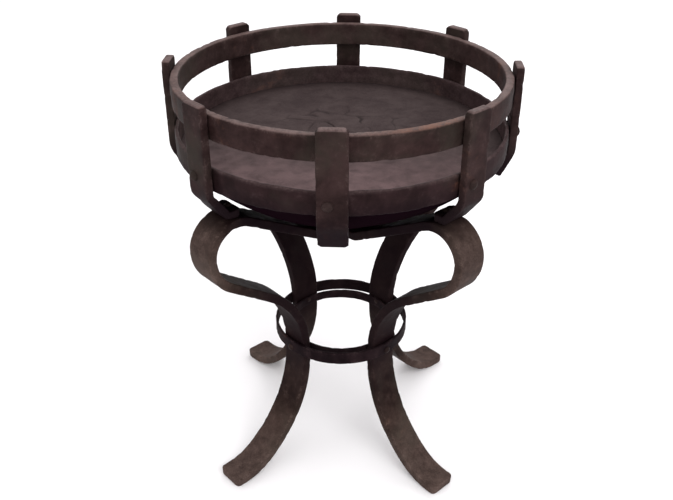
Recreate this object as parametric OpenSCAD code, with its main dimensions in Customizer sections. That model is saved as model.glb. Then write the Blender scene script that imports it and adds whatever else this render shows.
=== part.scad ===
// Coal forge: a riveted iron fire pan with an open hoop above it, carried on four
// scrolled flat-bar legs that are clamped at the waist between two rings.
// Frame: origin on the floor under the pan's centre, +Z up, -Y is the front.

/* [Fire pan] */
// Outer radius of the top hoop and of the pan's band
pan_r = 300; // [260:5:340]
// Height of the top hoop and of the pan's band
band_h = 45; // [35:1:55]
// Thickness of the top hoop
hoop_t = 16; // [10:1:18]
// Thickness of the pan's band
band_t = 8; // [6:1:10]
// Open gap between the band and the top hoop
window_h = 45; // [30:1:60]
// Height of the band's lower edge above the floor
band_z = 659; // [655:1:670]
// Thickness of the dished pan sheet
dish_t = 4; // [3:0.5:5]
// Height of the sheet's short flange inside the band, under the clay
flange_h = 5; // [4:0.5:6]
// Height of the clay bed's top above the band's lower edge
bed_rise = 8; // [6:1:20]

/* [Straps] */
// Width of the eight straps
strap_w = 50; // [40:1:60]
// Thickness of the straps
strap_t = 15; // [10:1:16]
// How far the straps stand above the top hoop
strap_rise = 14; // [5:1:25]
// Height at which the straps start to bend in under the pan
bend_z = 660; // [655:1:663]
// Radius of that bend on the side straps, to the middle of the bar
side_bend_r = 40; // [36:1:44]
// Radius of that bend on the corner straps, to the middle of the bar
corner_bend_r = 24; // [20:1:28]
// Corner cut on the strap ends
strap_cut = 6; // [2:1:8]

/* [Legs] */
// Width of the leg bars
leg_w = 60; // [50:1:62]
// Thickness of the leg bars
leg_t = 18; // [16:1:19]
// Radius of the waist, to the middle of the bar
waist_r = 117; // [110:1:125]
// Height of the waist's lower end
waist_z = 243; // [240:1:246]
// Slope of the lower scroll branch above the horizontal
branch_angle = 35; // [33:1:37]
// Slope of the arm that runs back in under the pan
arm_angle = 28.6; // [28:0.1:29]
// Corner radius of the toes
toe_corner = 10; // [4:1:14]

/* [Waist rings] */
// Height of the outer ring
ring_h = 26; // [18:1:30]
// Thickness of both rings
ring_t = 6; // [4:0.5:8]
// Height of the inner ring
inner_ring_h = 20; // [14:1:24]

/* [Rivets] */
// Shank diameter of the rivets
rivet_d = 10; // [8:1:12]
// Diameter of the domed rivet heads
head_d = 18; // [14:1:22]
// Height of the domed rivet heads
head_h = 6; // [4:1:8]
// Diameter of the smaller heads at the waist and on the scrolls
small_head_d = 14; // [12:1:16]
// Height of the smaller heads
small_head_h = 4; // [3:1:5]
// Sideways offset of the band's rivets from the middle of each strap
band_rivet_side = -7; // [-10:1:10]

/* [Hidden] */

$fn = 96;
iron = "#3b302e";
rubbed_iron = "#4a3d3a";
clay = "#5b4e4a";
touch = 0.05;          // play between a flat bar and the round band that it lies against
cut_more = 2;          // how far a drill reaches past the faces that it cuts
lap = 2;               // how far a shaped tip laps over the straight end of its bar
bend_step = 3;         // angle between the points along a bend

// The straps stand at eight even angles, counted from the front towards +X.
SIDE_ANGLES = [0, 90, 180, 270];
CORNER_ANGLES = [45, 135, 225, 315];
ALL_ANGLES = concat(SIDE_ANGLES, CORNER_ANGLES);

// Pan and hoop
band_top = band_z + band_h;
hoop_z = band_top + window_h;
hoop_top = hoop_z + band_h;
flange_r = pan_r - band_t;
bed_r = flange_r - dish_t;
bed_z = band_z + bed_rise;

// Straps
strap_in = pan_r + touch;
strap_mid = strap_in + strap_t / 2;
strap_out = strap_in + strap_t;
strap_top = hoop_top + strap_rise;
side_bend = 25.5;      // turn of the four side straps' lower ends
side_tip_l = 44;       // straight end of a side strap beyond its bend
tip_l = 14;            // length of a strap's end that is shaped apart from its bar
corner_bend = 37;      // turn of the four corner straps below the band
foot_bend_r = 12.5;    // second bend of the corner straps, which turns their feet level
foot_l = 19;           // length of that level foot

// Legs, as runs and bends from the toe up
shin_r = 252;          // long bend from the waist down to the ankle
shin_turn = 55;
ankle_r = 108;         // tighter bend that lays the toe on the floor
toe_l = 17;
waist_l = 15;          // straight stretch of the waist
hip_r = 186;           // bend from the waist out to the lower branch
branch_l = 105;
scroll_low_r = 80;     // lower half of the scroll
scroll_top_r = 55;     // upper half of the scroll
landing_bend_r = 30;   // bend that levels the arm under the pan's centre
landing_r = 56;        // where the arm's level landing starts
landing_l = 24;
dish_cone_angle = 30.5; // slope of the dish between the landings and its curled rim
dish_curl_r = 200;     // where the dish starts to curl up towards the band
toe_r = waist_r + shin_r * (1 - cos(shin_turn)) + ankle_r * cos(shin_turn) + lap;
knee_z = leg_t / 2 + ankle_r * (1 - sin(shin_turn)) + shin_r * sin(shin_turn);

// Where the run of bends puts the scroll's crown and the arm's landing
hip_turn = 90 - branch_angle;
branch_end_r = waist_r + hip_r * (1 - cos(hip_turn)) + branch_l * cos(branch_angle);
branch_end_z = waist_z + waist_l + hip_r * sin(hip_turn) + branch_l * sin(branch_angle);
crown_r = branch_end_r + scroll_low_r * (1 - sin(branch_angle)) - scroll_top_r;
crown_z = branch_end_z + scroll_low_r * cos(branch_angle) + scroll_top_r;
arm_start_r = crown_r - scroll_top_r * sin(arm_angle);
arm_start_z = crown_z - scroll_top_r * (1 - cos(arm_angle));
arm_end_r = landing_r + landing_bend_r * sin(arm_angle);
arm_run = arm_start_r - arm_end_r;
arm_l = arm_run / cos(arm_angle);
landing_z = arm_start_z - arm_run * tan(arm_angle) - landing_bend_r * (1 - cos(arm_angle));

// The corner straps' feet lie level on the scroll crowns.
foot_z = crown_z + leg_t / 2 + touch + strap_t / 2;
corner_run = (bend_z - foot_z - corner_bend_r * sin(corner_bend)
              - foot_bend_r * (1 - sin(corner_bend))) / cos(corner_bend);
foot_r = strap_mid - corner_bend_r * (1 - cos(corner_bend)) - corner_run * sin(corner_bend)
         - foot_bend_r * cos(corner_bend);
foot_rivet_r = crown_r - 2;

// The dish has a flat centre on the four landings, a cone, and a rim that curls up to
// the band's lower edge. The curl is an arc that leaves the cone smoothly.
dish_z = landing_z + leg_t / 2 + touch;
dish_slope = tan(dish_cone_angle);
curl_run = flange_r - dish_curl_r;
curl_rise = band_z - dish_z - (dish_curl_r - landing_r) * dish_slope;
dish_rim_angle = 2 * atan(curl_rise / curl_run) - dish_cone_angle;
curl_radius = curl_run / (sin(dish_rim_angle) - sin(dish_cone_angle));
curl_mid_r = flange_r - curl_radius * sin(dish_rim_angle);
curl_mid_z = band_z + curl_radius * cos(dish_rim_angle);
curl_inner = curl_radius - dish_t;
curl_inner_end = asin((bed_r - curl_mid_r) / curl_inner);
dish_floor_r = landing_r + dish_t * (cos(dish_cone_angle) - 1) / sin(dish_cone_angle);
flange_z = band_z + flange_h;

// Waist rings lie against the legs' outer edges and inner faces.
ring_in = norm([waist_r + leg_t / 2, leg_w / 2]) + touch;
ring_out = ring_in + ring_t;
inner_ring_out = waist_r - leg_t / 2 - touch;
inner_ring_in = inner_ring_out - ring_t;
inner_ring_z = waist_z - 4;
waist_rivet_z = waist_z + 9;

// Rivet rows
band_rivet_z = band_z + 26;
hoop_rivet_z = hoop_z + band_h / 2;
dish_rivet_r = landing_r - 13;
curl_steps = 6;

// One side of a bar that is bent along a path, as points. The path starts at [x, y] in
// the direction heading. A step [length, 0] is a straight run, and a step [radius, turn]
// is a bend, with a left turn above 0 and a right turn below 0.
function side_of(path, x, y, heading, off, i = 0) =
  i == len(path) ? [[x - off * sin(heading), y + off * cos(heading)]]
  : let (size = path[i][0], turn = path[i][1], end = heading + turn)
    turn == 0
    ? concat([[x - off * sin(heading), y + off * cos(heading)]],
             side_of(path, x + size * cos(heading), y + size * sin(heading), end, off, i + 1))
    : let (r = sign(turn) * size, cx = x - r * sin(heading), cy = y + r * cos(heading),
           n = ceil(abs(turn) / bend_step))
      concat([for (k = [0 : n - 1]) let (a = heading + turn * k / n)
                [cx + (r - off) * sin(a), cy - (r - off) * cos(a)]],
             side_of(path, cx + r * sin(end), cy - r * cos(end), end, off, i + 1));

// The flat bar itself, of width w and thickness t, drawn in its own plane.
module bar(path, w, t) {
  left = side_of(path, 0, 0, 0, t / 2);
  right = side_of(path, 0, 0, 0, -t / 2);
  linear_extrude(w, center = true)
    polygon(concat(left, [for (k = [len(right) - 1 : -1 : 0]) right[k]]));
}

// Puts a path in the upright plane at an angle from the front: start at radius r and
// height z, facing heading degrees above the outward horizontal.
module in_plane(angle, r, z, heading) {
  rotate([0, 0, angle - 90])
    translate([r, 0, z])
      rotate([90, 0, 0])
        rotate([0, 0, heading])
          children();
}

// Turns a shape that is drawn along +X to an angle from the front.
module at(angle) {
  rotate([0, 0, angle - 90]) children();
}

// Round bar along +X, for rivet shanks and the drills that make their holes.
module rod(x0, x1, d, z) {
  translate([x0, 0, z]) rotate([0, 90, 0]) cylinder(d = d, h = x1 - x0);
}

// Domed head whose flat side lies on z = 0: a cap of a sphere.
module dome(d, h) {
  ball = (d * d / 4 + h * h) / (2 * h);
  difference() {
    translate([0, 0, h - ball]) sphere(r = ball);
    translate([-2 * ball, -2 * ball, -2 * ball]) cube([4 * ball, 4 * ball, 2 * ball]);
  }
}

// Upright ring with square edges.
module ring(r, t, z, h) {
  rotate_extrude() translate([r - t, z]) square([t, h]);
}

// Flat plate along +X that ends in two cut corners.
module cut_tip(l, w, t, cut) {
  translate([0, t / 2, 0]) rotate([90, 0, 0])
    linear_extrude(t)
      polygon([[0, -w / 2], [l - cut, -w / 2], [l, cut - w / 2],
               [l, w / 2 - cut], [l - cut, w / 2], [0, w / 2]]);
}

// Flat plate along +X that ends in two rounded corners.
module round_tip(l, w, t, corner) {
  translate([0, t / 2, 0]) rotate([90, 0, 0])
    linear_extrude(t) {
      translate([0, -w / 2]) square([l - corner, w]);
      translate([0, corner - w / 2]) square([l, w - 2 * corner]);
      for (s = [-1, 1]) translate([l - corner, s * (w / 2 - corner)]) circle(r = corner);
    }
}

// The drilled holes of one strap, shared with the band and the hoop.
module strap_drills(angle) {
  at(angle) {
    rod(bed_r - hoop_t, strap_out + cut_more, rivet_d, hoop_rivet_z);
    translate([0, band_rivet_side, 0])
      rod(bed_r - hoop_t, strap_out + cut_more, rivet_d, band_rivet_z);
  }
}

module top_hoop() {
  color(rubbed_iron)
    difference() {
      ring(pan_r, hoop_t, hoop_z, band_h);
      for (a = ALL_ANGLES) strap_drills(a);
    }
}

module pan_band() {
  color(iron)
    difference() {
      ring(pan_r, band_t, band_z, band_h);
      for (a = ALL_ANGLES) strap_drills(a);
    }
}

// Points of the dish's curled rim, from the cone out to the angle last.
function curl(radius, last) =
  [for (k = [0 : curl_steps])
     let (a = dish_cone_angle + (last - dish_cone_angle) * k / curl_steps)
     [curl_mid_r + radius * sin(a), curl_mid_z - radius * cos(a)]];

module pan_dish() {
  inside = curl(curl_inner, curl_inner_end);
  color(iron)
    difference() {
      rotate_extrude()
        polygon(concat([[0, dish_z], [landing_r, dish_z]], curl(curl_radius, dish_rim_angle),
                       [[flange_r, flange_z], [bed_r, flange_z]],
                       [for (k = [curl_steps : -1 : 0]) inside[k]],
                       [[dish_floor_r, dish_z + dish_t], [0, dish_z + dish_t]]));
      for (a = CORNER_ANGLES) dish_drill(a);
    }
}

// The clay fills the dish and covers the flange, out to the band.
module clay_bed() {
  color(clay)
    rotate_extrude()
      polygon(concat([[0, dish_z + dish_t], [dish_floor_r, dish_z + dish_t]],
                     curl(curl_inner, curl_inner_end),
                     [[bed_r, flange_z], [flange_r, flange_z], [flange_r, bed_z],
                      [0, bed_z]]));
}

// The cut upper end of a strap, above the hoop.
module strap_head(angle) {
  in_plane(angle, strap_mid, strap_top - tip_l - lap, 90)
    cut_tip(tip_l + lap, strap_w, strap_t, strap_cut);
}

// A side strap runs down past the hoop and band, and its free end bends in below them.
module side_strap(angle) {
  color(rubbed_iron)
    difference() {
      union() {
        strap_head(angle);
        in_plane(angle, strap_mid, strap_top - tip_l, -90)
          bar([[strap_top - tip_l - bend_z, 0], [side_bend_r, -side_bend], [lap, 0]],
              strap_w, strap_t);
        in_plane(angle, strap_mid - side_bend_r * (1 - cos(side_bend)),
                 bend_z - side_bend_r * sin(side_bend), -90 - side_bend)
          cut_tip(side_tip_l, strap_w, strap_t, strap_cut);
      }
      strap_drills(angle);
    }
}

// The corner straps turn level at the bottom and lie on the crowns of the scrolls.
module corner_strap(angle) {
  color(rubbed_iron)
    difference() {
      union() {
        strap_head(angle);
        in_plane(angle, strap_mid, strap_top - tip_l, -90)
          bar([[strap_top - tip_l - bend_z, 0], [corner_bend_r, -corner_bend],
               [corner_run, 0], [foot_bend_r, corner_bend - 90], [lap, 0]],
              strap_w, strap_t);
        in_plane(angle, foot_r, foot_z, 180)
          cut_tip(foot_l, strap_w, strap_t, strap_cut);
      }
      strap_drills(angle);
      scroll_drill(angle);
    }
}

module scroll_drill(angle) {
  at(angle)
    translate([foot_rivet_r, 0, crown_z - leg_t])
      cylinder(d = rivet_d, h = foot_z + strap_t - crown_z + leg_t);
}

module dish_drill(angle) {
  at(angle)
    translate([dish_rivet_r, 0, landing_z - leg_t])
      cylinder(d = rivet_d, h = dish_z + dish_t + cut_more - landing_z + leg_t);
}

module waist_drill(angle) {
  at(angle) rod(inner_ring_in - cut_more, ring_out + cut_more, rivet_d, waist_rivet_z);
}

// One leg: toe, ankle, shin, waist, lower branch, scroll and the arm back under the pan.
module leg(angle) {
  color(iron)
    difference() {
      union() {
        in_plane(angle, toe_r, leg_t / 2, 180)
          bar([[lap, 0], [ankle_r, shin_turn - 90], [shin_r, -shin_turn],
               [waist_z + waist_l - knee_z, 0], [hip_r, -hip_turn], [branch_l, 0],
               [scroll_low_r, hip_turn], [scroll_top_r, 90 + arm_angle], [arm_l, 0],
               [landing_bend_r, -arm_angle], [landing_l, 0]], leg_w, leg_t);
        in_plane(angle, toe_r - lap, leg_t / 2, 0)
          round_tip(toe_l + lap, leg_w, leg_t, toe_corner);
      }
      waist_drill(angle);
      scroll_drill(angle);
      dish_drill(angle);
    }
}

module outer_waist_ring() {
  color(iron)
    difference() {
      ring(ring_out, ring_t, waist_z, ring_h);
      for (a = CORNER_ANGLES) waist_drill(a);
    }
}

module inner_waist_ring() {
  color(iron)
    difference() {
      ring(inner_ring_out, ring_t, inner_ring_z, inner_ring_h);
      for (a = CORNER_ANGLES) waist_drill(a);
    }
}

// Rivets through the straps and the top hoop, dressed flush on both faces.
module hoop_rivets() {
  color(rubbed_iron)
    for (a = ALL_ANGLES) at(a) rod(pan_r - hoop_t, strap_out, rivet_d, hoop_rivet_z);
}

// Rivets through the straps and the band, with domed heads outside.
module band_rivets() {
  color(rubbed_iron)
    for (a = ALL_ANGLES) at(a) translate([0, band_rivet_side, 0]) {
      rod(flange_r, strap_out, rivet_d, band_rivet_z);
      translate([strap_out, 0, band_rivet_z]) rotate([0, 90, 0]) dome(head_d, head_h);
    }
}

// Rivets through the outer ring, the leg and the inner ring.
module waist_rivets() {
  color(iron)
    for (a = CORNER_ANGLES) at(a) {
      rod(inner_ring_in, ring_out, rivet_d, waist_rivet_z);
      translate([ring_out, 0, waist_rivet_z]) rotate([0, 90, 0]) dome(small_head_d, small_head_h);
    }
}

// Rivets that hold the corner straps' feet on the scrolls.
module scroll_rivets() {
  color(iron)
    for (a = CORNER_ANGLES) at(a) translate([foot_rivet_r, 0, 0]) {
      translate([0, 0, crown_z - leg_t / 2]) cylinder(d = rivet_d, h = leg_t + strap_t + touch);
      translate([0, 0, foot_z + strap_t / 2]) dome(small_head_d, small_head_h);
    }
}

// Rivets that hold the dish's flat centre on the legs' landings.
module dish_rivets() {
  color(iron)
    for (a = CORNER_ANGLES) at(a) translate([dish_rivet_r, 0, 0]) {
      translate([0, 0, landing_z - leg_t / 2]) cylinder(d = rivet_d, h = leg_t + touch + dish_t);
      translate([0, 0, landing_z - leg_t / 2]) mirror([0, 0, 1]) dome(head_d, head_h);
    }
}

top_hoop();
pan_band();
pan_dish();
clay_bed();
side_strap(0);  // strap_front
side_strap(90);  // strap_right
side_strap(180);  // strap_back
side_strap(270);  // strap_left
corner_strap(45);  // strap_front_right
corner_strap(135);  // strap_back_right
corner_strap(225);  // strap_back_left
corner_strap(315);  // strap_front_left
leg(45);  // leg_front_right
leg(135);  // leg_back_right
leg(225);  // leg_back_left
leg(315);  // leg_front_left
outer_waist_ring();
inner_waist_ring();
hoop_rivets();
band_rivets();
waist_rivets();
scroll_rivets();
dish_rivets();
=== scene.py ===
"""Coal forge: the looks of a riveted fire pan on four scrolled legs, in metres.

+Z is up and -Y is the front, as in the CAD. Angles count from the front towards +X.
"""

import math

import bpy
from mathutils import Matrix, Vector, noise


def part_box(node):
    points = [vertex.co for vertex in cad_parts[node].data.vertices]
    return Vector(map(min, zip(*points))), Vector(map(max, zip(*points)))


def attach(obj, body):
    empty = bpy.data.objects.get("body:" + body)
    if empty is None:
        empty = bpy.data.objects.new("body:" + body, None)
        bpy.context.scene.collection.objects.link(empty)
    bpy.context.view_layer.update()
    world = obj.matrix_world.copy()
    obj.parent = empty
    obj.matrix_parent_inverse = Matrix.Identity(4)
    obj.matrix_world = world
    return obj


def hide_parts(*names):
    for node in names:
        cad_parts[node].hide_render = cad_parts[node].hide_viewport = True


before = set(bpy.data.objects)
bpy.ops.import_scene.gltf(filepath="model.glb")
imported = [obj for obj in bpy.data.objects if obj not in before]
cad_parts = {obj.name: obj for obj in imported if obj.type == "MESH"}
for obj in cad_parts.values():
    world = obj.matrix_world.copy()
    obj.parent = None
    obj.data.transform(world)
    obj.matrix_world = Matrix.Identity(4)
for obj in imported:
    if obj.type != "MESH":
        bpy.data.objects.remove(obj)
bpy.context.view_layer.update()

# ---------------------------------------------------------------------------
# Sizes. The CAD nodes' boxes give the places, and the bends repeat the CAD's.
# ---------------------------------------------------------------------------
SIDES = {"front": 0, "right": 90, "back": 180, "left": 270}
CORNERS = {"front_right": 45, "back_right": 135, "back_left": 225, "front_left": 315}

hoop_low, hoop_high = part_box("top_hoop")
band_low, band_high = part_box("pan_band")
dish_low, dish_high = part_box("pan_dish")
bed_low, bed_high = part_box("clay_bed")
strap_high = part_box("strap_right")[1]
outer_ring_low, outer_ring_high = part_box("outer_waist_ring")
inner_ring_low, inner_ring_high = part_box("inner_waist_ring")

PLAY = 0.00005           # between a strap's foot and the scroll that it is riveted to
HOOP_T = 0.016
BAND_T = 0.008
DISH_T = 0.004
RING_T = 0.006
STRAP_T = 0.015
BEND_LIFT = 0.001        # height of a strap's bend above the band's lower edge
STRAP_BEND_Z = band_low.z + BEND_LIFT
SIDE_BEND_R = 0.040
SIDE_BEND = 25.5
SIDE_TIP = 0.044
CORNER_BEND_R = 0.024
CORNER_BEND = 37
FOOT_BEND_R = 0.0125
FOOT_L = 0.019
STRAP_CUT = 0.006
LEG_W = 0.060
LEG_T = 0.018
WAIST_R = 0.117
WAIST_Z = outer_ring_low.z
WAIST_L = 0.015
ARM_ANGLE = 28.6
BRANCH_ANGLE = 35
BRANCH_L = 0.105
HIP_R = 0.186
SHIN_R = 0.252
SHIN_TURN = 55
ANKLE_R = 0.108
TOE_L = 0.017
TOE_CORNER = 0.010
SCROLL_LOW_R = 0.080
SCROLL_TOP_R = 0.055
LANDING_BEND_R = 0.030
LANDING_R = 0.056
LANDING_L = 0.024
CONE_ANGLE = 30.5
CURL_R = 0.200
LAP = 0.002
FOOT_RIVET_IN = 0.002    # from the scroll's crown towards the pan's axis

strap_half_w = strap_high.y
strap_mid = strap_high.x - STRAP_T / 2
strap_top = strap_high.z
hip_turn = 90 - BRANCH_ANGLE
shin_sin = math.sin(math.radians(SHIN_TURN))
shin_cos = math.cos(math.radians(SHIN_TURN))
toe_r = WAIST_R + SHIN_R * (1 - shin_cos) + ANKLE_R * shin_cos + LAP
knee_z = LEG_T / 2 + ANKLE_R * (1 - shin_sin) + SHIN_R * shin_sin

hip_rad = math.radians(hip_turn)
branch_rad = math.radians(BRANCH_ANGLE)
arm_rad = math.radians(ARM_ANGLE)
branch_end_r = WAIST_R + HIP_R * (1 - math.cos(hip_rad)) + BRANCH_L * math.cos(branch_rad)
branch_end_z = (WAIST_Z + WAIST_L + HIP_R * math.sin(hip_rad)
                + BRANCH_L * math.sin(branch_rad))
crown_r = branch_end_r + SCROLL_LOW_R * (1 - math.sin(branch_rad)) - SCROLL_TOP_R
crown_z = branch_end_z + SCROLL_LOW_R * math.cos(branch_rad) + SCROLL_TOP_R
arm_start_r = crown_r - SCROLL_TOP_R * math.sin(arm_rad)
arm_run = arm_start_r - LANDING_R - LANDING_BEND_R * math.sin(arm_rad)
landing_z = (crown_z - SCROLL_TOP_R * (1 - math.cos(arm_rad)) - arm_run * math.tan(arm_rad)
             - LANDING_BEND_R * (1 - math.cos(arm_rad)))
foot_z = crown_z + LEG_T / 2 + PLAY + STRAP_T / 2
foot_rivet_r = crown_r - FOOT_RIVET_IN
corner_rad = math.radians(CORNER_BEND)
corner_run = (STRAP_BEND_Z - foot_z - CORNER_BEND_R * math.sin(corner_rad)
              - FOOT_BEND_R * (1 - math.sin(corner_rad))) / math.cos(corner_rad)

UP = Vector((0, 0, 1))


def outward(angle):
    """Unit vector away from the pan's axis, at an angle from the front."""
    a = math.radians(angle)
    return Vector((math.sin(a), -math.cos(a), 0))


def sideways(angle):
    """Unit vector along the rim at that angle."""
    a = math.radians(angle)
    return Vector((math.cos(a), math.sin(a), 0))


# ---------------------------------------------------------------------------
# Forged surfaces: how deep each point lies below the bar's true face
# ---------------------------------------------------------------------------
FACET = 0.024            # size of a hammer mark
FACET_DEPTH = 0.00055
ROLL = 0.075             # size of the slow waves left by the forging
ROLL_DEPTH = 0.0006
GRAIN = 0.0065           # size of the scale's grain
GRAIN_DEPTH = 0.00016
NICK = 0.011             # size of the nicks along the edges
NICK_DEPTH = 0.0011
FACET_REACH = 0.75       # share of its cell that a hammer mark fills
EDGE_CALM = 0.6          # share of the hammer marks that the edges lose
NICK_FROM = 0.15         # noise level at which a nick starts
NICK_SPAN = 0.5
SEED_SHIFT = (0.37, 0.53, 0.19)


def clamp(x, low=0.0, high=1.0):
    return max(low, min(high, x))


def swell(q):
    """Smooth noise at q, from about 0 to 1."""
    return 0.5 + 0.5 * noise.noise(q)


def dent(p, edge, seed):
    """Depth of the hammered face at p. edge is 1 on a bar's edges and 0 on its flats."""
    q = p + Vector([seed * shift for shift in SEED_SHIFT])
    near = noise.voronoi(q / FACET)[0][0]
    bowl = clamp(1 - (near / FACET_REACH) ** 2)
    nick = clamp((noise.noise(q / NICK) - NICK_FROM) / NICK_SPAN) * edge
    return (FACET_DEPTH * bowl * (1 - EDGE_CALM * edge) + ROLL_DEPTH * swell(q / ROLL)
            + GRAIN_DEPTH * swell(q / GRAIN) + NICK_DEPTH * nick)


def add_values(mesh, values):
    """Stores one float attribute on the mesh's points for each entry of values."""
    for key, numbers in values.items():
        attribute = mesh.attributes.new(key, "FLOAT", "POINT")
        attribute.data.foreach_set("value", numbers)


def new_mesh(name, points, faces, values):
    """A smooth-shaded mesh object with its point values."""
    mesh = bpy.data.meshes.new(name)
    mesh.from_pydata([tuple(p) for p in points], [], faces)
    mesh.polygons.foreach_set("use_smooth", [True] * len(mesh.polygons))
    add_values(mesh, values)
    mesh.update()
    obj = bpy.data.objects.new(name, mesh)
    bpy.context.scene.collection.objects.link(obj)
    return obj


# ---------------------------------------------------------------------------
# Flat bars, swept along a path with rounded edges and shaped ends
# ---------------------------------------------------------------------------
SPACING = 0.0038         # between the sections along a bar
CORNER_STEPS = 3
FACE_STEP = 0.0042       # between the points across a bar's faces
MOST_ROUND = 0.98        # share of a half section that its rounded edge may take
WORN_REACH = 0.0035      # how far the wear of an edge or a tip reaches in
CAP_SCALES = (0.8, 0.5, 0.2)
CAP_WORN = 0.5
TIP_SHARES = (0.12, 0.35, 0.7, 1.0)
MID_REACH = 0.55


def outline(half_w, half_t, corner, nw, nt):
    """(across, through, normal across, normal through, edge) round a bar's section."""
    corner = min(corner, half_w * MOST_ROUND, half_t * MOST_ROUND)
    wide = (nw, half_w - corner, half_t)
    narrow = (nt, half_t - corner, half_w)
    points = []
    for turn, (count, flat, lift) in ((0, wide), (-90, narrow), (-180, wide), (-270, narrow)):
        a = math.radians(turn)
        c, s = math.cos(a), math.sin(a)
        for k in range(count):
            x = -flat + 2 * flat * k / count
            rub = math.exp(-(flat - abs(x)) / WORN_REACH)
            points.append((x * c - lift * s, x * s + lift * c, -s, c, rub))
        for k in range(CORNER_STEPS):
            b = math.radians(90 - 90 * k / CORNER_STEPS)
            nx, nz = math.cos(b), math.sin(b)
            x = flat + corner * nx
            z = lift - corner + corner * nz
            points.append((x * c - z * s, x * s + z * c,
                           nx * c - nz * s, nx * s + nz * c, 1.0))
    return points


def end_inset(gap, corner):
    """How far a rounded end has drawn in at a distance from its tip."""
    if gap >= corner:
        return 0.0
    return corner - math.sqrt(max(0.0, corner ** 2 - (corner - gap) ** 2))


def cut_profile(cut):
    """Width drawn in near an end whose two corners are cut off at 45 degrees."""
    return lambda gap: max(0.0, cut - gap)


def round_profile(radius):
    """Width drawn in near an end whose two corners are rounded."""
    return lambda gap: end_inset(gap, radius)


def sweep(name, frames, half_w, half_t, corner, seed, closed=False, profiles=(None, None),
          step=FACE_STEP):
    """A bar through frames, each (centre, across, through, distance along it)."""
    nw = max(3, round(2 * (half_w - corner) / step))
    nt = max(2, round(2 * (half_t - corner) / step))
    length = frames[-1][3]
    points, faces, edges = [], [], []
    count = 0
    for centre, across, through, along in frames:
        w, t, c = half_w, half_t, corner
        for gap, profile in ((along, profiles[0]), (length - along, profiles[1])):
            if profile is not None:
                ease = end_inset(gap, corner)
                w -= profile(gap) + ease
                t -= ease
        shape = outline(w, t, c, nw, nt)
        count = len(shape)
        tip = min(along, length - along)
        at_end = 0.0 if closed else math.exp(-tip / WORN_REACH)
        for x, z, nx, nz, rub in shape:
            p = centre + across * x + through * z
            n = across * nx + through * nz
            rub = max(rub, at_end)
            points.append(p - n * dent(p, rub, seed))
            edges.append(rub)
    rows = len(frames)
    for i in range(rows if closed else rows - 1):
        j = (i + 1) % rows
        for k in range(count):
            m = (k + 1) % count
            faces.append((i * count + k, i * count + m, j * count + m, j * count + k))
    if not closed:
        for row, flip in ((0, True), (rows - 1, False)):
            cap_end(points, faces, edges, row * count, count, frames[row][0], flip)
    return new_mesh(name, points, faces, {"edge": edges})


def cap_end(points, faces, edges, first, count, centre, flip):
    """Closes a swept bar's end with rings that shrink to the middle."""
    ring = list(range(first, first + count))
    for scale in CAP_SCALES:
        inner = []
        for k in range(first, first + count):
            inner.append(len(points))
            points.append(centre + (points[k] - centre) * scale)
            edges.append(CAP_WORN * scale)
        add_strip(faces, ring, inner, flip)
        ring = inner
    middle = len(points)
    points.append(Vector(centre))
    edges.append(0.0)
    for k in range(count):
        a, b = ring[k], ring[(k + 1) % count]
        faces.append((b, a, middle) if flip else (a, b, middle))


def add_strip(faces, ring, inner, flip):
    """Adds the faces between two rings of as many points each."""
    for k in range(len(ring)):
        m = (k + 1) % len(ring)
        quad = (ring[k], ring[m], inner[m], inner[k])
        faces.append(quad[::-1] if flip else quad)


def walk(r, z, heading, steps, tip_start, tip_end):
    """(radius, height, heading, distance) along steps: (length, 0) or (radius, turn)."""
    marks = []
    done = 0.0
    for size, turn in steps:
        length = size * math.radians(abs(turn)) if turn else size
        count = max(1, round(length / SPACING))
        fractions = [k / count for k in range(count)]
        if not marks and tip_start:
            fractions = sorted(set(fractions + [g / length for g in tip_start]))
        if (size, turn) == steps[-1] and tip_end:
            fractions = sorted(set(fractions + [1 - g / length for g in tip_end if g]))
        for part in fractions:
            marks.append(along_step(r, z, heading, size, turn, part, done + length * part))
        r, z, heading, done = along_step(r, z, heading, size, turn, 1, done + length)
    marks.append((r, z, heading, done))
    return marks


def along_step(r, z, heading, size, turn, part, along):
    """The mark at a part, 0 to 1, of one step that starts at r, z and heading."""
    a = math.radians(heading)
    if not turn:
        return (r + size * part * math.cos(a), z + size * part * math.sin(a), heading, along)
    radius = math.copysign(size, turn)
    b = math.radians(heading + turn * part)
    return (r + radius * (math.sin(b) - math.sin(a)),
            z - radius * (math.cos(b) - math.cos(a)), heading + turn * part, along)


def upright_frames(angle, marks):
    """Frames for a bar that lies in the upright plane at an angle from the front."""
    out, side = outward(angle), sideways(angle)
    frames = []
    for r, z, heading, along in marks:
        a = math.radians(heading)
        normal = out * -math.sin(a) + UP * math.cos(a)
        frames.append((out * r + UP * z, side, normal, along))
    return frames


def ring_frames(radius, z):
    """Frames for a band that stands on edge round the pan's axis."""
    count = round(2 * math.pi * radius / SPACING)
    frames = []
    for k in range(count):
        angle = 360 * k / count
        frames.append((outward(angle) * radius + UP * z, UP, outward(angle),
                       2 * math.pi * radius * k / count))
    return frames


def tip_gaps(corner, reach):
    """Distances from a tip at which extra sections shape its rounding."""
    return [0.0, *(corner * share for share in TIP_SHARES), reach * MID_REACH, reach]


# ---------------------------------------------------------------------------
# Materials
# ---------------------------------------------------------------------------
def material(name):
    """A new node material, its node tree and its shader."""
    mat = bpy.data.materials.new(name)
    mat.use_nodes = True
    tree = mat.node_tree
    shader = tree.nodes["Principled BSDF"]
    return mat, tree, shader


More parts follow.
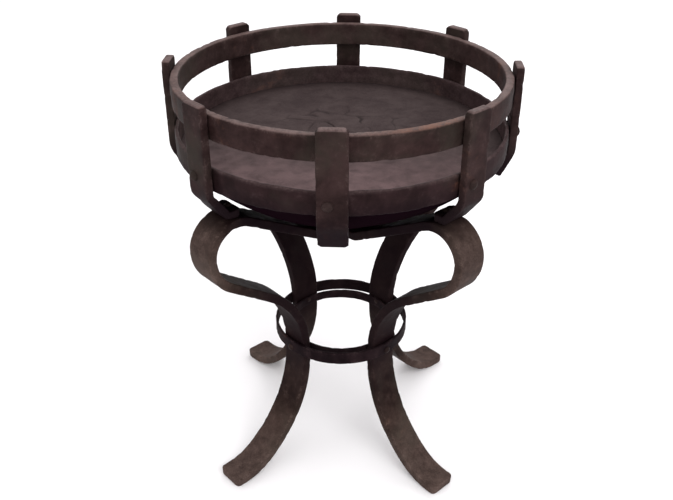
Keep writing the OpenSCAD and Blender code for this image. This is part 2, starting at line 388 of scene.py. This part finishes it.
class Graph:
    """Short calls that add nodes to one material's tree."""

    def __init__(self, tree):
        self.tree = tree
        self.place = tree.nodes.new("ShaderNodeTexCoord").outputs["Object"]

    def link(self, a, b):
        self.tree.links.new(a, b)

    def noise(self, scale, detail, rough=0.6, distortion=0.0):
        node = self.tree.nodes.new("ShaderNodeTexNoise")
        node.inputs["Scale"].default_value = scale
        node.inputs["Detail"].default_value = detail
        node.inputs["Roughness"].default_value = rough
        node.inputs["Distortion"].default_value = distortion
        self.link(self.place, node.inputs["Vector"])
        return node.outputs["Fac"]

    def value(self, name):
        """The mesh's own point value of that name."""
        node = self.tree.nodes.new("ShaderNodeAttribute")
        node.attribute_name = name
        return node.outputs["Fac"]

    def math(self, kind, a, b=None, use_clamp=False):
        node = self.tree.nodes.new("ShaderNodeMath")
        node.operation = kind
        node.use_clamp = use_clamp
        for socket, x in zip(node.inputs, (a, b)):
            if x is None:
                continue
            if isinstance(x, (int, float)):
                socket.default_value = x
            else:
                self.link(x, socket)
        return node.outputs[0]

    def times(self, a, b):
        return self.math("MULTIPLY", a, b)

    def blend(self, a, b, share):
        """a and b added up, a with its share and b with the rest."""
        return self.math("ADD", self.times(a, share), self.times(b, 1 - share))

    def ramp(self, x, low, high, to_low=0.0, to_high=1.0):
        """Maps low..high of x to to_low..to_high, smoothly."""
        node = self.tree.nodes.new("ShaderNodeMapRange")
        node.interpolation_type = "SMOOTHSTEP"
        node.inputs["From Min"].default_value = low
        node.inputs["From Max"].default_value = high
        node.inputs["To Min"].default_value = to_low
        node.inputs["To Max"].default_value = to_high
        self.link(x, node.inputs["Value"])
        return node.outputs["Result"]

    def mix(self, amount, a, b):
        """Colour a, or b where amount is 1."""
        node = self.tree.nodes.new("ShaderNodeMix")
        node.data_type = "RGBA"
        sockets = [s for s in node.inputs if s.enabled]
        for socket, x in zip(sockets, (amount, a, b)):
            if isinstance(x, tuple):
                socket.default_value = (*x, 1.0)
            elif isinstance(x, (int, float)):
                socket.default_value = x
            else:
                self.link(x, socket)
        return [s for s in node.outputs if s.enabled][0]

    def bump(self, height, distance, strength, below=None):
        node = self.tree.nodes.new("ShaderNodeBump")
        node.inputs["Distance"].default_value = distance
        node.inputs["Strength"].default_value = strength
        self.link(height, node.inputs["Height"])
        if below is not None:
            self.link(below, node.inputs["Normal"])
        return node.outputs["Normal"]


RUST = (0.150, 0.056, 0.026)
# Painted shade: the near-black that the iron takes under the pan, at the legs' waist and low on
# the band and straps.
PAINTED_SHADE_COLOUR = (0.0056, 0.0021, 0.0040)
PAINTED_SHADE_COVER = 0.9
OLIVE = (0.92, 0.76, 0.60)       # shares of the scale's red in its olive patches
WEAR_AND_PAINTED_LIGHT_GAIN = 1.9                 # how much brighter worn tops, lighter inner faces and painted light are than rubbed edges
SPECULAR = 0.04
ROUGH = (0.48, 0.72)

CLAY_DARK = (0.036, 0.0240, 0.0245)
CLAY_LIGHT = (0.064, 0.0465, 0.0455)
CLAY_PALE = (0.150, 0.098, 0.100)
CLAY_SPECK = (0.115, 0.088, 0.084)
# the colour of the bed's painted shade near its rim
CLAY_PAINTED_SHADE = (0.026, 0.0165, 0.0165)
CLAY_CRACK = (0.010, 0.007, 0.007)


def iron(name, dark, mid, light, rust_amount, gloss=0.0, specular=SPECULAR):
    """Forged iron: brown-black scale, rubbed lighter on the edges, with thin rust, worn tops,
    painted light and painted shade.
    """
    mat, tree, shader = material(name)
    g = Graph(tree)
    blotch = g.noise(11, 5, 0.62, 0.4)
    patch = g.noise(46, 7, 0.65, 0.2)
    speck = g.noise(330, 4)
    tone = g.blend(blotch, patch, 0.6)
    chip = g.blend(patch, speck, 0.6)
    olive = tuple(mid[0] * share for share in OLIVE)
    base = g.mix(g.ramp(tone, 0.36, 0.66), dark, mid)
    base = g.mix(g.ramp(g.noise(5.5, 4, 0.6, 0.5), 0.46, 0.66, 0.0, 0.55), base, olive)
    base = g.mix(g.ramp(g.blend(patch, speck, 0.7), 0.54, 0.72, 0.0, 0.40), base, light)
    rub = g.times(g.ramp(g.value("edge"), 0.35, 1.0), g.ramp(chip, 0.50, 0.62))
    base = g.mix(g.times(rub, 0.45), base, light)
    # Lighter where worn on the tops, lighter on the hoop's and band's inner faces, and painted
    # light: lighter toes and a painted sheen on the scrolls' outer faces.
    wear_and_painted_light = g.times(g.value("wear_and_painted_light"), g.ramp(chip, 0.36, 0.62, 0.45, 1.0))
    base = g.mix(wear_and_painted_light, base, tuple(WEAR_AND_PAINTED_LIGHT_GAIN * c for c in light))
    stain = g.times(g.ramp(g.noise(7, 6, 0.7, 0.6), 0.56, 0.74), g.ramp(patch, 0.42, 0.62))
    streak = g.times(g.value("rust"), g.ramp(chip, 0.38, 0.55))
    base = g.mix(g.math("ADD", g.times(stain, rust_amount), streak, True), base, RUST)
    # Painted shade: near-black under the pan, on the straps' bent feet, at the legs' waist and
    # low on the band.
    base = g.mix(g.times(g.value("painted_shade"), PAINTED_SHADE_COVER), base, PAINTED_SHADE_COLOUR)
    g.link(base, shader.inputs["Base Color"])
    shader.inputs["Specular IOR Level"].default_value = specular
    rough = g.ramp(g.math("SUBTRACT", tone, g.times(wear_and_painted_light, 0.10)), 0.3, 0.7,
                   ROUGH[0] - gloss, ROUGH[1] - gloss)
    g.link(rough, shader.inputs["Roughness"])
    normal = g.bump(patch, 0.0009, 0.5)
    g.link(g.bump(speck, 0.0003, 0.5, normal), shader.inputs["Normal"])
    return mat


def clay_material():
    """Dry clay and ash: mottled grey-brown, with painted shade near the rim, dark in the
    cracks.
    """
    mat, tree, shader = material("clay")
    g = Graph(tree)
    broad = g.noise(9, 6, 0.65, 0.7)
    patch = g.noise(38, 8, 0.7, 0.3)
    speck = g.noise(260, 5, 0.7)
    base = g.mix(g.ramp(g.blend(broad, patch, 0.5), 0.30, 0.68), CLAY_DARK, CLAY_LIGHT)
    base = g.mix(g.times(g.value("pale"), g.ramp(patch, 0.3, 0.6, 0.5, 1.0)), base, CLAY_PALE)
    base = g.mix(g.ramp(speck, 0.55, 0.75, 0.0, 0.25), base, CLAY_SPECK)
    # Painted shade near the bed's rim, mostly towards the back.
    base = g.mix(g.times(g.value("painted_shade"), g.ramp(patch, 0.3, 0.6, 0.6, 1.0)), base, CLAY_PAINTED_SHADE)
    base = g.mix(g.value("crack"), base, CLAY_CRACK)
    g.link(base, shader.inputs["Base Color"])
    shader.inputs["Roughness"].default_value = 0.9
    shader.inputs["Specular IOR Level"].default_value = 0.10
    normal = g.bump(patch, 0.0016, 0.6)
    g.link(g.bump(speck, 0.0005, 0.7, normal), shader.inputs["Normal"])
    return mat


MATERIALS = {
    "hoop_iron": iron("hoop_iron", (0.0120, 0.0058, 0.0056), (0.034, 0.0185, 0.0178),
                      (0.070, 0.048, 0.045), 0.30),
    "pan_iron": iron("pan_iron", (0.0100, 0.0046, 0.0050), (0.026, 0.0135, 0.0145),
                     (0.056, 0.038, 0.038), 0.26),
    "strap_iron": iron("strap_iron", (0.0112, 0.0056, 0.0055), (0.033, 0.0182, 0.0178),
                       (0.067, 0.046, 0.044), 0.20),
    "leg_iron": iron("leg_iron", (0.0130, 0.0072, 0.0060), (0.040, 0.0250, 0.0210),
                     (0.090, 0.063, 0.055), 0.14, 0.04, 0.02),
    # The waist rings' iron is darker than the legs': painted shade at the waist.
    "ring_iron": iron("ring_iron", (0.0060, 0.0030, 0.0040), (0.017, 0.0095, 0.0110),
                      (0.038, 0.025, 0.026), 0.10, 0.04, 0.02),
    "rivet_iron": iron("rivet_iron", (0.0110, 0.0060, 0.0056), (0.031, 0.0190, 0.0180),
                       (0.060, 0.043, 0.040), 0.20),
    "clay": clay_material(),
}
# A darker copy of the pan's iron for the dish's underside: painted shade under the pan.
UNDERSIDE = iron("pan_iron_painted_shade", (0.0060, 0.0030, 0.0036), (0.014, 0.0080, 0.0090),
                 (0.030, 0.019, 0.021), 0.08, 0.0, 0.0)

RUST_ANGLE = 30          # where the hoop's top is rusty, from the front towards +X
RUST_SPREAD = 17
TOP_WORN = 0.0030        # how far down from a bar's top the bright wear reaches
TOP_FADE = 0.0016
ARM_Z = 0.485            # above this height the arms get painted shade, out to the scroll
ARM_REACH = 0.040
WAIST_SHADE_Z = 0.10      # the legs' painted shade at the waist starts here and ends at this radius
WAIST_SHADE_R = 0.290
# Painted light: the toes lighter below this height, and a painted sheen on the scrolls' outer
# faces past this radius and above this height.
TOE_LIGHT_Z = 0.11
SCROLL_SHEEN_R = 0.285
SCROLL_SHEEN_Z = 0.40


def wear_rust_and_painted_light(node, p):
    """(painted shade, wear and painted light, rust) of the iron at p: painted shade under the
    pan and at the waist, worn bright on the tops, painted light on toes and scrolls.
    """
    r = math.hypot(p.x, p.y)
    painted_shade, wear_and_painted_light, rust = 0.0, 0.0, 0.0
    if node == "top_hoop":
        wear_and_painted_light = clamp((p.z - hoop_high.z + TOP_WORN) / TOP_FADE)
        from_rust = math.degrees(math.atan2(p.x, -p.y)) - RUST_ANGLE
        rust = 0.5 * wear_and_painted_light * math.exp(-(from_rust / RUST_SPREAD) ** 2)
        wear_and_painted_light = max(wear_and_painted_light, 0.10 * clamp((hoop_high.x - r - 0.010) / 0.004))
    elif node == "pan_band":
        # Painted shade low on the band's outside; its inner face and top edge lighter.
        low = 0.70 * clamp((band_low.z + 0.024 - p.z) / 0.026)
        inside = clamp((band_high.x - r - 0.004) / 0.003)
        painted_shade = low * (1 - inside)
        wear_and_painted_light = max(0.34 * inside, 0.45 * clamp((p.z - band_high.z + 0.0055) / 0.003))
    elif node == "pan_dish":
        # The dish's underside: all painted shade.
        painted_shade = 1.0
    elif node.startswith("strap"):
        wear_and_painted_light = clamp((p.z - strap_top + TOP_WORN) / TOP_FADE)
        # Painted shade on the straps below the band.
        painted_shade = 0.92 * clamp((band_low.z + 0.018 - p.z) / 0.045)
    elif node.startswith("leg"):
        # Painted shade on the arms under the pan and at the waist; painted light on the toes; a
        # painted sheen on the scrolls' outer faces.
        arm = clamp((p.z - ARM_Z) / 0.05) * clamp((crown_r + ARM_REACH - r) / 0.05)
        waist = clamp((p.z - WAIST_SHADE_Z) / 0.15) * clamp((WAIST_SHADE_R - r) / 0.09)
        painted_shade = max(arm, 0.84 * waist)
        toe = clamp((TOE_LIGHT_Z - p.z) / 0.09)
        scroll = clamp((r - SCROLL_SHEEN_R) / 0.03) * clamp((p.z - SCROLL_SHEEN_Z) / 0.10)
        wear_and_painted_light = max(0.32 * toe, 0.24 * scroll)
    elif node == "dish_rivets":
        # The dish rivets: all painted shade.
        painted_shade = 1.0
    return painted_shade, wear_and_painted_light, rust


def finish_piece(obj, slot, *nodes):
    """Gives a piece the material of its slot, its point values and its body, and hides the CAD
    nodes that it stands for.
    """
    mesh = obj.data
    if slot != "clay":
        shades = [wear_rust_and_painted_light(nodes[0], vertex.co) for vertex in mesh.vertices]
        add_values(mesh, dict(zip(("painted_shade", "wear_and_painted_light", "rust"), zip(*shades))))
    mesh.materials.append(UNDERSIDE if nodes[0] == "pan_dish" else MATERIALS[slot])
    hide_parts(*nodes)
    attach(obj, "root")
    return obj


# ---------------------------------------------------------------------------
# The hoop, the band and the waist rings
# ---------------------------------------------------------------------------
HOOP_CORNER = 0.0036
BAND_CORNER = 0.0030
RING_CORNER = 0.0018
RING_STEP = 0.0030
HOOP_WAVE = 0.0012       # how deep the slow waves of an upper edge are
BAND_WAVE = 0.0035
WAVE_SIZE = 0.055
RIDGE_DEPTH = 0.0009     # how far the face lies in beside the ridge along a ring
RIDGE_UP = 0.60          # height of that ridge as a share of the ring's height
RIDGE_SPAN = 0.25


def standing_ring(node, low, high, thickness, corner, slot, seed, step=FACE_STEP, wave=0.0):
    """A round band on edge, in the box of its CAD node."""
    frames = ring_frames(high.x - thickness / 2, (low.z + high.z) / 2)
    piece = sweep(node + "_forged", frames, (high.z - low.z) / 2, thickness / 2, corner,
                  seed, closed=True, step=step)
    if wave:
        for vertex in piece.data.vertices:
            vertex.co = waved(vertex.co, low.z, high.z, wave, seed)
    return finish_piece(piece, slot, node)


def waved(p, low_z, high_z, wave, seed):
    """Draws a ring's upper edge down by a slow wave, and its face in beside a low ridge."""
    up = clamp((p.z - low_z) / (high_z - low_z))
    drop = wave * swell(Vector((p.x, p.y, seed)) / WAVE_SIZE) * up
    ridge = RIDGE_DEPTH * clamp(abs(up - RIDGE_UP) / RIDGE_SPAN)
    r = math.hypot(p.x, p.y)
    draw = 1 - ridge / r
    return Vector((p.x * draw, p.y * draw, p.z - drop))


standing_ring("top_hoop", hoop_low, hoop_high, HOOP_T, HOOP_CORNER, "hoop_iron", seed=1,
              wave=HOOP_WAVE)
standing_ring("pan_band", band_low, band_high, BAND_T, BAND_CORNER, "pan_iron", seed=2,
              wave=BAND_WAVE)
standing_ring("outer_waist_ring", outer_ring_low, outer_ring_high, RING_T, RING_CORNER,
              "ring_iron", seed=3, step=RING_STEP)
standing_ring("inner_waist_ring", inner_ring_low, inner_ring_high, RING_T, RING_CORNER,
              "ring_iron", seed=4, step=RING_STEP)


# ---------------------------------------------------------------------------
# Straps and legs
# ---------------------------------------------------------------------------
STRAP_CORNER = 0.0024
LEG_CORNER = 0.0028
strap_gaps = tip_gaps(STRAP_CORNER, STRAP_CUT)
straight = strap_top - STRAP_BEND_Z


def strap(name, angle, bends, seed):
    """A strap that stands against the hoop and the band, with its lower end bent in."""
    marks = walk(strap_mid, strap_top, -90, [(straight, 0), *bends], strap_gaps, strap_gaps)
    cut = cut_profile(STRAP_CUT)
    piece = sweep(f"strap_{name}_forged", upright_frames(angle, marks), strap_half_w,
                  STRAP_T / 2, STRAP_CORNER, seed, profiles=(cut, cut))
    finish_piece(piece, "strap_iron", f"strap_{name}")


side_bends = [(SIDE_BEND_R, -SIDE_BEND), (SIDE_TIP, 0)]
for number, (name, angle) in enumerate(SIDES.items()):
    strap(name, angle, side_bends, seed=10 + number)

corner_bends = [(CORNER_BEND_R, -CORNER_BEND), (corner_run, 0), (FOOT_BEND_R, CORNER_BEND - 90),
                (FOOT_L, 0)]
for number, (name, angle) in enumerate(CORNERS.items()):
    strap(name, angle, corner_bends, seed=20 + number)

arm_l = arm_run / math.cos(arm_rad)
toe_gaps = tip_gaps(LEG_CORNER, TOE_CORNER)
for number, (name, angle) in enumerate(CORNERS.items()):
    marks = walk(toe_r + TOE_L, LEG_T / 2, 180,
                 [(TOE_L + LAP, 0), (ANKLE_R, SHIN_TURN - 90), (SHIN_R, -SHIN_TURN),
                  (WAIST_Z + WAIST_L - knee_z, 0), (HIP_R, -hip_turn), (BRANCH_L, 0),
                  (SCROLL_LOW_R, hip_turn), (SCROLL_TOP_R, 90 + ARM_ANGLE), (arm_l, 0),
                  (LANDING_BEND_R, -ARM_ANGLE), (LANDING_L, 0)],
                 toe_gaps, tip_gaps(LEG_CORNER, LEG_CORNER))
    piece = sweep(f"leg_{name}_forged", upright_frames(angle, marks), LEG_W / 2, LEG_T / 2,
                  LEG_CORNER, seed=30 + number,
                  profiles=(round_profile(TOE_CORNER), round_profile(LEG_CORNER)))
    finish_piece(piece, "leg_iron", f"leg_{name}")


# ---------------------------------------------------------------------------
# The pan's sheet bottom and the clay bed, turned about the pan's axis
# ---------------------------------------------------------------------------
ROUND = 288              # points round the pan
CURL_STEPS = 14
FLAT_STEP = 0.014        # between the dish's rings, on each of its parts
CONE_STEP = 0.007
FLANGE_STEP = 0.003
LIP_STEP = 0.002
COVERED_STEP = 0.03


def turned(name, profile, seed):
    """A closed shape turned about the axis. profile runs from the axis back to the axis."""
    points = [Vector((0, 0, profile[0][1])), Vector((0, 0, profile[-1][1]))]
    faces = []
    inner = profile[1:-1]
    for i, (r, z) in enumerate(inner):
        before, after = profile[i], profile[i + 2]
        slope = Vector((after[0] - before[0], after[1] - before[1]))
        slope.normalize()
        for k in range(ROUND):
            out = outward(360 * k / ROUND)
            p = out * r + UP * z
            n = out * slope.y - UP * slope.x
            points.append(p - n * dent(p, 0.0, seed))
    rows = len(inner)
    for k in range(ROUND):
        m = (k + 1) % ROUND
        faces.append((0, 2 + m, 2 + k))
        faces.append((1, 2 + (rows - 1) * ROUND + k, 2 + (rows - 1) * ROUND + m))
        for i in range(rows - 1):
            a, b = 2 + i * ROUND, 2 + (i + 1) * ROUND
            faces.append((a + k, a + m, b + m, b + k))
    return new_mesh(name, points, faces, {"edge": [0.0] * len(points)})


def run(a, b, step):
    """Points from a up to but not including b."""
    count = max(1, round(math.dist(a, b) / step))
    return [(a[0] + (b[0] - a[0]) * k / count, a[1] + (b[1] - a[1]) * k / count)
            for k in range(count)]


flange_r = dish_high.x
bed_r = flange_r - DISH_T
cone_rad = math.radians(CONE_ANGLE)
curl_run = flange_r - CURL_R
curl_rise = band_low.z - dish_low.z - (CURL_R - LANDING_R) * math.tan(cone_rad)
rim_rad = 2 * math.atan(curl_rise / curl_run) - cone_rad
curl_radius = curl_run / (math.sin(rim_rad) - math.sin(cone_rad))
curl_mid_r = flange_r - curl_radius * math.sin(rim_rad)
curl_mid_z = band_low.z + curl_radius * math.cos(rim_rad)
inner_end = math.asin((bed_r - curl_mid_r) / (curl_radius - DISH_T))


def curl(radius, last):
    """Points of the dish's curled rim, from the cone out to the angle last."""
    angles = [cone_rad + (last - cone_rad) * k / CURL_STEPS for k in range(CURL_STEPS + 1)]
    return [(curl_mid_r + radius * math.sin(a), curl_mid_z - radius * math.cos(a))
            for a in angles]


outer_curl = curl(curl_radius, rim_rad)
inner_curl = curl(curl_radius - DISH_T, inner_end)
floor_z = dish_low.z + DISH_T
dish_profile = (run((0, dish_low.z), (LANDING_R, dish_low.z), FLAT_STEP)
                + run((LANDING_R, dish_low.z), outer_curl[0], CONE_STEP)
                + outer_curl[:-1]
                + run(outer_curl[-1], (flange_r, dish_high.z), FLANGE_STEP)
                + run((flange_r, dish_high.z), (bed_r, dish_high.z), LIP_STEP)
                + [(bed_r, dish_high.z)]
                + inner_curl[::-1]
                + run((LANDING_R, floor_z), (0, floor_z), COVERED_STEP)
                + [(0, floor_z)])
finish_piece(turned("pan_dish_forged", dish_profile, seed=50), "pan_iron", "pan_dish")

BED_STEP = 0.0026        # between the rings of the bed's top
HILL = 0.085             # sizes and depths of the bed's slow hills, lumps and grit
HILL_DEPTH = 0.0026
LUMP = 0.021
LUMP_DEPTH = 0.0016
GRIT = 0.006
GRIT_DEPTH = 0.0007
PLATE = 0.075            # size of the plates that the cracks part
PLATE_BEND = 0.012       # how far the cracks wander from straight lines
BEND_SIZE = 0.03
CRACK_WIDTH = 0.055
CRACK_DEPTH = 0.0026
CRACKED = (0.0, 0.04)    # middle of the cracked part of the bed
CRACKED_R = 0.16
BREAK_SIZE = 0.05        # how long the cracks run before they fade
RIM_FROM = 0.88          # where the bed levels out, as a share of the rim's radius
RIM_SPAN = 0.08
SIDE_GAP = 0.0002        # room left between the bed and the iron round it
LEDGE_GAP = 0.0003
BOWL_GAP = 0.0005
MIDDLE_GAP = 0.0004
HIDDEN = (0.0, 1.0, 0.0)         # crack, painted shade and pale of the bed's covered sides


def bed_relief(p):
    """(depth, crack, painted shade, pale) of the bed's top at p."""
    q = Vector((p.x, p.y, 0.0))
    hill = swell(q / HILL + Vector((3.1, 0, 0)))
    lump = swell(q / LUMP + Vector((0, 7.7, 0)))
    bend_x = noise.noise(q / BEND_SIZE)
    bend_y = noise.noise(q / BEND_SIZE + Vector((9, 9, 0)))
    bent = q + Vector((bend_x, bend_y, 0)) * PLATE_BEND
    near = noise.voronoi(bent / PLATE)[0]
    gap = near[1] - near[0]
    field = clamp(1.2 - math.dist((p.x, p.y), CRACKED) / CRACKED_R)
    broken = clamp((noise.noise(q / BREAK_SIZE + Vector((5, 2, 0))) + 0.25) / 0.4)
    crack = clamp(1 - gap / CRACK_WIDTH) * field * broken
    rim = math.hypot(p.x, p.y) / flange_r
    wander = 0.018 * noise.noise(q / 0.035) + 0.010 * noise.noise(q / 0.014)
    # Painted shade near the rim, towards the back.
    painted_shade = 0.8 * clamp((rim + wander - 0.90) / RIM_SPAN) * clamp((p.y + 0.08) / 0.16)
    pale = clamp((-p.y - 0.03 + 3 * wander) / 0.20)
    depth = (HILL_DEPTH * hill + LUMP_DEPTH * lump + GRIT_DEPTH * swell(q / GRIT)
             + CRACK_DEPTH * crack)
    level = 1 - 0.6 * clamp((rim - RIM_FROM) / RIM_SPAN)
    return depth * level, crack, painted_shade, pale


def clay_bed():
    """The bed: a fine-meshed rough top on a plain body that fills the dish."""
    wall = flange_r - SIDE_GAP
    rings = round(wall / BED_STEP)
    top = bed_high.z
    points = [Vector((0, 0, top))]
    shades = [(0.0, 0.0, 0.0)]
    for i in range(1, rings + 1):
        r = wall * i / rings
        for k in range(ROUND):
            p = outward(360 * k / ROUND) * r
            depth, *shade = bed_relief(p)
            points.append(p + UP * (top - depth))
            shades.append(shade)
    ledge = dish_high.z + LEDGE_GAP
    under = ([(wall, ledge), (bed_r - SIDE_GAP, ledge)]
             + [(r, z + BOWL_GAP) for r, z in inner_curl[::-1]]
             + [(LANDING_R, bed_low.z + BOWL_GAP)])
    for r, z in under:
        for k in range(ROUND):
            points.append(outward(360 * k / ROUND) * r + UP * z)
            shades.append(HIDDEN)
    base = len(points)
    points.append(Vector((0, 0, bed_low.z + MIDDLE_GAP)))
    shades.append(HIDDEN)
    faces = []
    rows = rings + len(under)
    last = 1 + (rows - 1) * ROUND
    for k in range(ROUND):
        m = (k + 1) % ROUND
        faces.append((0, 1 + k, 1 + m))
        for i in range(rows - 1):
            a, b = 1 + i * ROUND, 1 + (i + 1) * ROUND
            faces.append((a + k, b + k, b + m, a + m))
        faces.append((base, last + m, last + k))
    return new_mesh("clay_bed_top", points, faces,
                    dict(zip(("crack", "painted_shade", "pale"), zip(*shades))))


finish_piece(clay_bed(), "clay", "clay_bed")


# ---------------------------------------------------------------------------
# Rivets: each group is one piece of separate hand-set rivets
# ---------------------------------------------------------------------------
RIVET_R = 0.005
HEAD_R = 0.009
HEAD_H = 0.006
SMALL_HEAD_R = 0.007
SMALL_HEAD_H = 0.004
HEAD_STEPS = 7
RIVET_ROUND = 24
RIVET_EASE = 0.98        # a shank's radius as a share of its hole's
SUNK = 0.0012            # how deep a head's underside lies below the face
CENTRE_R = 0.08          # the flat spot on a head, as a share of its radius
CENTRE_H = 0.999
FLUSH_R = 0.7            # a dressed end's radius as a share of the shank's
FLUSH_INNER = 0.0018     # how far a dressed shank's rounded ends stay inside the work
FLUSH_EDGE = 0.0016
FLUSH_TIP = 0.0011
HAMMERED = 0.006         # size and depth of the hammer's marks on a head
HAMMERED_DEPTH = 0.0006
HEAD_WORN = 0.4
SHANK_WORN = 0.2


def rivet(points, faces, edges, base, axis, side, profile, seed):
    """Adds one rivet, turned about an axis from its base point: (radius, height) pairs."""
    other = axis.cross(side)
    first = len(points)
    last = len(profile) - 1
    for i, (r, h) in enumerate(profile):
        for k in range(RIVET_ROUND):
            a = 2 * math.pi * k / RIVET_ROUND
            p = base + axis * h + (side * math.cos(a) + other * math.sin(a)) * r
            mark = HAMMERED_DEPTH * swell((p + Vector((seed, 0, 0))) / HAMMERED)
            points.append(p - axis * (mark if i not in (0, last) else 0.0))
            edges.append(HEAD_WORN if h > 0.001 else SHANK_WORN)
    for i in range(last):
        for k in range(RIVET_ROUND):
            m = (k + 1) % RIVET_ROUND
            a, b = first + i * RIVET_ROUND, first + (i + 1) * RIVET_ROUND
            faces.append((a + k, a + m, b + m, b + k))
    faces.append(tuple(first + k for k in range(RIVET_ROUND - 1, -1, -1)))
    faces.append(tuple(first + last * RIVET_ROUND + k for k in range(RIVET_ROUND)))


def domed(depth, radius, height):
    """A shank that goes depth into the work, and a domed head on its face."""
    profile = [(RIVET_R * RIVET_EASE, -depth), (RIVET_R * RIVET_EASE, -SUNK), (radius, -SUNK)]
    for k in range(HEAD_STEPS):
        a = math.radians(90 * k / HEAD_STEPS)
        profile.append((radius * math.cos(a), height * math.sin(a)))
    profile.append((radius * CENTRE_R, height * CENTRE_H))
    return profile


def flush(depth):
    """A shank whose ends are dressed level with the work on both sides."""
    return [(RIVET_R * FLUSH_R, SUNK - depth), (RIVET_R, FLUSH_INNER - depth),
            (RIVET_R, -FLUSH_EDGE), (RIVET_R * FLUSH_R, -FLUSH_TIP)]


def rivet_group(node, spots, profile, seed):
    """One piece of separate rivets, one at each spot: (base point, axis, side)."""
    points, faces, edges = [], [], []
    for number, (base, axis, side) in enumerate(spots):
        rivet(points, faces, edges, base, axis, side, profile, seed + number)
    return finish_piece(new_mesh(node + "_set", points, faces, {"edge": edges}),
                        "rivet_iron", node)


def level_spots(angles, r, z, shift=0.0):
    """Spots for rivets that point away from the pan's axis."""
    return [(outward(a) * r + sideways(a) * shift + UP * z, outward(a), sideways(a))
            for a in angles]


def upright_spots(r, z, axis):
    """Spots for rivets through the legs that point up or down."""
    return [(outward(a) * r + UP * z, axis, outward(a)) for a in CORNERS.values()]


ALL_ANGLES = [*SIDES.values(), *CORNERS.values()]
BAND_RIVET_SIDE = -0.007
BAND_RIVET_UP = 0.026
BAND_RIVET_SHORT = 0.0022        # how far the shank's end stays below the wall's inside
WAIST_RIVET_UP = 0.009
DISH_RIVET_IN = 0.013

hoop_mid_z = (hoop_low.z + hoop_high.z) / 2
waist_grip = outer_ring_high.x - inner_ring_high.x + RING_T
strap_rivet = domed(STRAP_T + BAND_T - BAND_RIVET_SHORT, HEAD_R, HEAD_H)
waist_rivet = domed(waist_grip, SMALL_HEAD_R, SMALL_HEAD_H)
scroll_rivet = domed(LEG_T + STRAP_T, SMALL_HEAD_R, SMALL_HEAD_H)
dish_rivet = domed(LEG_T + DISH_T, HEAD_R, HEAD_H)

rivet_group("hoop_rivets", level_spots(ALL_ANGLES, strap_high.x, hoop_mid_z),
            flush(STRAP_T + HOOP_T), seed=60)
rivet_group("band_rivets",
            level_spots(ALL_ANGLES, strap_high.x, band_low.z + BAND_RIVET_UP, BAND_RIVET_SIDE),
            strap_rivet, seed=70)
rivet_group("waist_rivets",
            level_spots(CORNERS.values(), outer_ring_high.x, outer_ring_low.z + WAIST_RIVET_UP),
            waist_rivet, seed=80)
rivet_group("scroll_rivets", upright_spots(foot_rivet_r, foot_z + STRAP_T / 2, UP),
            scroll_rivet, seed=90)
rivet_group("dish_rivets", upright_spots(LANDING_R - DISH_RIVET_IN, landing_z - LEG_T / 2, -UP),
            dish_rivet, seed=100)


# ---------------------------------------------------------------------------
# Floor, light and camera
# ---------------------------------------------------------------------------
FLOOR_HALF = 14.0
FLOOR_DARK = (0.86, 0.85, 0.86)
FLOOR_LIGHT = (0.90, 0.89, 0.90)
SKY = (1.0, 0.985, 0.99, 1.0)
SKY_STRENGTH = 1.15
LAMP_SIZE = 2.4
LAMPS = {                # place, target and power of each lamp
    "key": ((1.7, -2.2, 2.8), (0, 0, 0.5), 56),
    "fill": ((-2.6, -1.4, 1.8), (0, 0, 0.5), 12),
    "back": ((0.6, 2.8, 2.4), (0, 0, 0.6), 26),
}
CAMERA_PLACE = (0.0631, -1.4114, 1.2657)
CAMERA_TILT = 59.18
CAMERA_TURN = 2.94
SENSOR_WIDTH = 36.0
LENS = 44.38


def studio():
    """A plain pale floor, a pale sky and three soft lamps."""
    bpy.context.scene.view_settings.view_transform = "Standard"
    size = FLOOR_HALF
    floor = new_mesh("floor", [(-size, -size, 0), (size, -size, 0), (size, size, 0),
                               (-size, size, 0)], [(0, 1, 2, 3)], {})
    mat, tree, shader = material("floor")
    g = Graph(tree)
    g.link(g.mix(g.ramp(g.noise(2.0, 3), 0.3, 0.7), FLOOR_DARK, FLOOR_LIGHT),
           shader.inputs["Base Color"])
    shader.inputs["Roughness"].default_value = 0.9
    floor.data.materials.append(mat)

    world = bpy.data.worlds.new("studio")
    world.use_nodes = True
    background = world.node_tree.nodes["Background"]
    background.inputs["Color"].default_value = SKY
    background.inputs["Strength"].default_value = SKY_STRENGTH
    bpy.context.scene.world = world

    for name, (place, target, power) in LAMPS.items():
        area_light(name, place, target, power)


def area_light(name, place, target, power):
    """A square soft lamp that faces its target."""
    lamp = bpy.data.lights.new(name, "AREA")
    lamp.shape = "SQUARE"
    lamp.size = LAMP_SIZE
    lamp.energy = power
    obj = bpy.data.objects.new(name, lamp)
    obj.location = place
    obj.rotation_euler = (Vector(target) - Vector(place)).to_track_quat("-Z", "Y").to_euler()
    bpy.context.scene.collection.objects.link(obj)


def camera():
    """The camera at the photo's viewing angle."""
    lens = bpy.data.cameras.new("camera")
    lens.sensor_width = SENSOR_WIDTH
    lens.lens = LENS
    obj = bpy.data.objects.new("camera", lens)
    obj.location = CAMERA_PLACE
    obj.rotation_euler = (math.radians(CAMERA_TILT), 0.0, math.radians(CAMERA_TURN))
    bpy.context.scene.collection.objects.link(obj)
    bpy.context.scene.camera = obj


studio()
camera()
